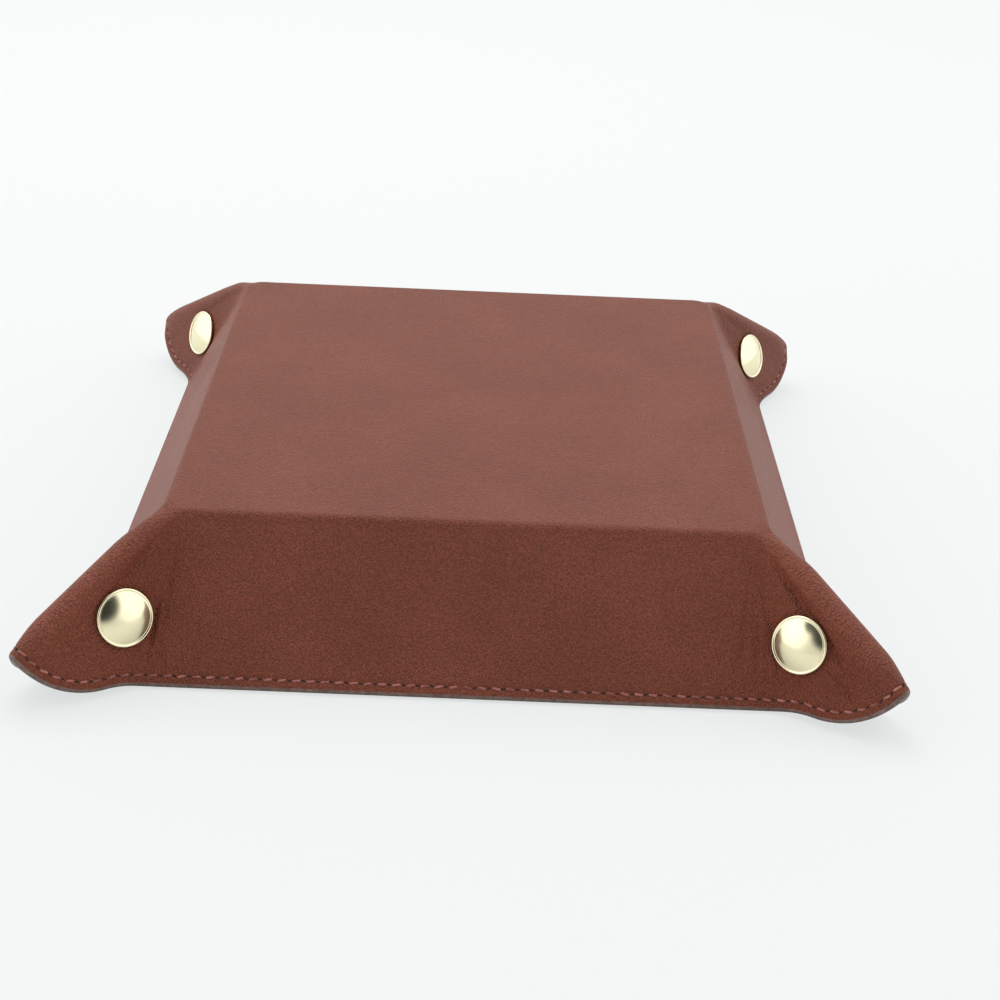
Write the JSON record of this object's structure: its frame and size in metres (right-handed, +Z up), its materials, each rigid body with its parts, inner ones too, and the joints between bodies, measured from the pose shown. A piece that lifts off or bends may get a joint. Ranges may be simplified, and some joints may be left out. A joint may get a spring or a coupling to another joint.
{
  "type": "valet tray",
  "caption": "Leather valet tray with flared stitched walls and pinched corner ears closed by domed snaps, stored upside down; it unsnaps and folds flat.",
  "frame": {"origin": "centre of the bounding box in plan, on the plane that the rim rests on", "axes": "+Z is up in the pictured pose, in which the tray stands upside down on its rim with its flat base on top; +X is to the right of the picture, along the shorter side of the base; +Y points away from the camera, along the longer side of the base. For use the tray is turned over about X or Y."},
  "size_m": [0.2234, 0.2444, 0.0403],
  "materials": {
    "leather": "pebbled reddish-brown full-grain leather, semi-matt",
    "lining": "smooth dark brown lining leather, matt",
    "board": "raw pressed fibre stiffening board, hidden between the layers",
    "snap_cap": "polished pale gold plating",
    "snap_inner": "plain pale gold plating"
  },
  "bodies": {
    "base": {"base_leather": "leather", "base_lining": "lining", "base_board": "board"},
    "front_wall": {"front_wall_leather": "leather", "front_wall_lining": "lining", "front_wall_board": "board"},
    "back_wall": {"back_wall_leather": "leather", "back_wall_lining": "lining", "back_wall_board": "board"},
    "left_wall": {"left_wall_leather": "leather", "left_wall_lining": "lining", "left_wall_board": "board"},
    "right_wall": {"right_wall_leather": "leather", "right_wall_lining": "lining", "right_wall_board": "board"},
    "front_left_ear_end": {"front_left_ear_end_leather": "leather", "front_left_ear_end_lining": "lining", "front_left_ear_end_cap": "snap_cap", "front_left_ear_end_socket": "snap_inner", "front_left_ear_end_spring": "snap_inner"},
    "front_left_ear_side": {"front_left_ear_side_leather": "leather", "front_left_ear_side_lining": "lining", "front_left_ear_side_cap": "snap_cap", "front_left_ear_side_stud": "snap_inner"},
    "front_right_ear_end": {"front_right_ear_end_leather": "leather", "front_right_ear_end_lining": "lining", "front_right_ear_end_cap": "snap_cap", "front_right_ear_end_socket": "snap_inner", "front_right_ear_end_spring": "snap_inner"},
    "front_right_ear_side": {"front_right_ear_side_leather": "leather", "front_right_ear_side_lining": "lining", "front_right_ear_side_cap": "snap_cap", "front_right_ear_side_stud": "snap_inner"},
    "back_left_ear_end": {"back_left_ear_end_leather": "leather", "back_left_ear_end_lining": "lining", "back_left_ear_end_cap": "snap_cap", "back_left_ear_end_socket": "snap_inner", "back_left_ear_end_spring": "snap_inner"},
    "back_left_ear_side": {"back_left_ear_side_leather": "leather", "back_left_ear_side_lining": "lining", "back_left_ear_side_cap": "snap_cap", "back_left_ear_side_stud": "snap_inner"},
    "back_right_ear_end": {"back_right_ear_end_leather": "leather", "back_right_ear_end_lining": "lining", "back_right_ear_end_cap": "snap_cap", "back_right_ear_end_socket": "snap_inner", "back_right_ear_end_spring": "snap_inner"},
    "back_right_ear_side": {"back_right_ear_side_leather": "leather", "back_right_ear_side_lining": "lining", "back_right_ear_side_cap": "snap_cap", "back_right_ear_side_stud": "snap_inner"}
  },
  "joints": [
    {"name": "front_wall_fold", "type": "hinge", "parent": "base", "child": "front_wall", "pos_m": [0, -0.088, 0.04026], "axis": [-1, 0, 0], "range_deg": [0, 61]},
    {"name": "back_wall_fold", "type": "hinge", "parent": "base", "child": "back_wall", "pos_m": [0, 0.088, 0.04026], "axis": [1, 0, 0], "range_deg": [0, 61]},
    {"name": "left_wall_fold", "type": "hinge", "parent": "base", "child": "left_wall", "pos_m": [-0.0775, 0, 0.04026], "axis": [0, 1, 0], "range_deg": [0, 61]},
    {"name": "right_wall_fold", "type": "hinge", "parent": "base", "child": "right_wall", "pos_m": [0.0775, 0, 0.04026], "axis": [0, -1, 0], "range_deg": [0, 61]},
    {"name": "front_left_ear_end_crease", "type": "hinge", "parent": "front_wall", "child": "front_left_ear_end", "pos_m": [-0.07288, -0.088, 0.04026], "axis": [-0.1908, -0.4759, -0.8586], "range_deg": [0, 33.1]},
    {"name": "front_left_ear_side_crease", "type": "hinge", "parent": "left_wall", "child": "front_left_ear_side", "pos_m": [-0.0775, -0.08338, 0.04026], "axis": [0.4759, 0.1908, 0.8586], "range_deg": [0, 33.1]},
    {"name": "front_right_ear_end_crease", "type": "hinge", "parent": "front_wall", "child": "front_right_ear_end", "pos_m": [0.07288, -0.088, 0.04026], "axis": [-0.1908, 0.4759, 0.8586], "range_deg": [0, 33.1]},
    {"name": "front_right_ear_side_crease", "type": "hinge", "parent": "right_wall", "child": "front_right_ear_side", "pos_m": [0.0775, -0.08338, 0.04026], "axis": [0.4759, -0.1908, -0.8586], "range_deg": [0, 33.1]},
    {"name": "back_left_ear_end_crease", "type": "hinge", "parent": "back_wall", "child": "back_left_ear_end", "pos_m": [-0.07288, 0.088, 0.04026], "axis": [0.1908, -0.4759, 0.8586], "range_deg": [0, 33.1]},
    {"name": "back_left_ear_side_crease", "type": "hinge", "parent": "left_wall", "child": "back_left_ear_side", "pos_m": [-0.0775, 0.08338, 0.04026], "axis": [-0.4759, 0.1908, -0.8586], "range_deg": [0, 33.1]},
    {"name": "back_right_ear_end_crease", "type": "hinge", "parent": "back_wall", "child": "back_right_ear_end", "pos_m": [0.07288, 0.088, 0.04026], "axis": [0.1908, 0.4759, -0.8586], "range_deg": [0, 33.1]},
    {"name": "back_right_ear_side_crease", "type": "hinge", "parent": "right_wall", "child": "back_right_ear_side", "pos_m": [0.0775, 0.08338, 0.04026], "axis": [-0.4759, -0.1908, 0.8586], "range_deg": [0, 33.1]}
  ],
  "couplings": [
    {"joint": "back_wall_fold", "follows": "front_wall_fold", "ratio": 1},
    {"joint": "left_wall_fold", "follows": "front_wall_fold", "ratio": 1},
    {"joint": "right_wall_fold", "follows": "front_wall_fold", "ratio": 1},
    {"joint": "front_left_ear_end_crease", "follows": "front_wall_fold", "ratio": 0.54228},
    {"joint": "front_left_ear_side_crease", "follows": "front_wall_fold", "ratio": 0.54228},
    {"joint": "front_right_ear_end_crease", "follows": "front_wall_fold", "ratio": 0.54228},
    {"joint": "front_right_ear_side_crease", "follows": "front_wall_fold", "ratio": 0.54228},
    {"joint": "back_left_ear_end_crease", "follows": "front_wall_fold", "ratio": 0.54228},
    {"joint": "back_left_ear_side_crease", "follows": "front_wall_fold", "ratio": 0.54228},
    {"joint": "back_right_ear_end_crease", "follows": "front_wall_fold", "ratio": 0.54228},
    {"joint": "back_right_ear_side_crease", "follows": "front_wall_fold", "ratio": 0.54228}
  ]
}
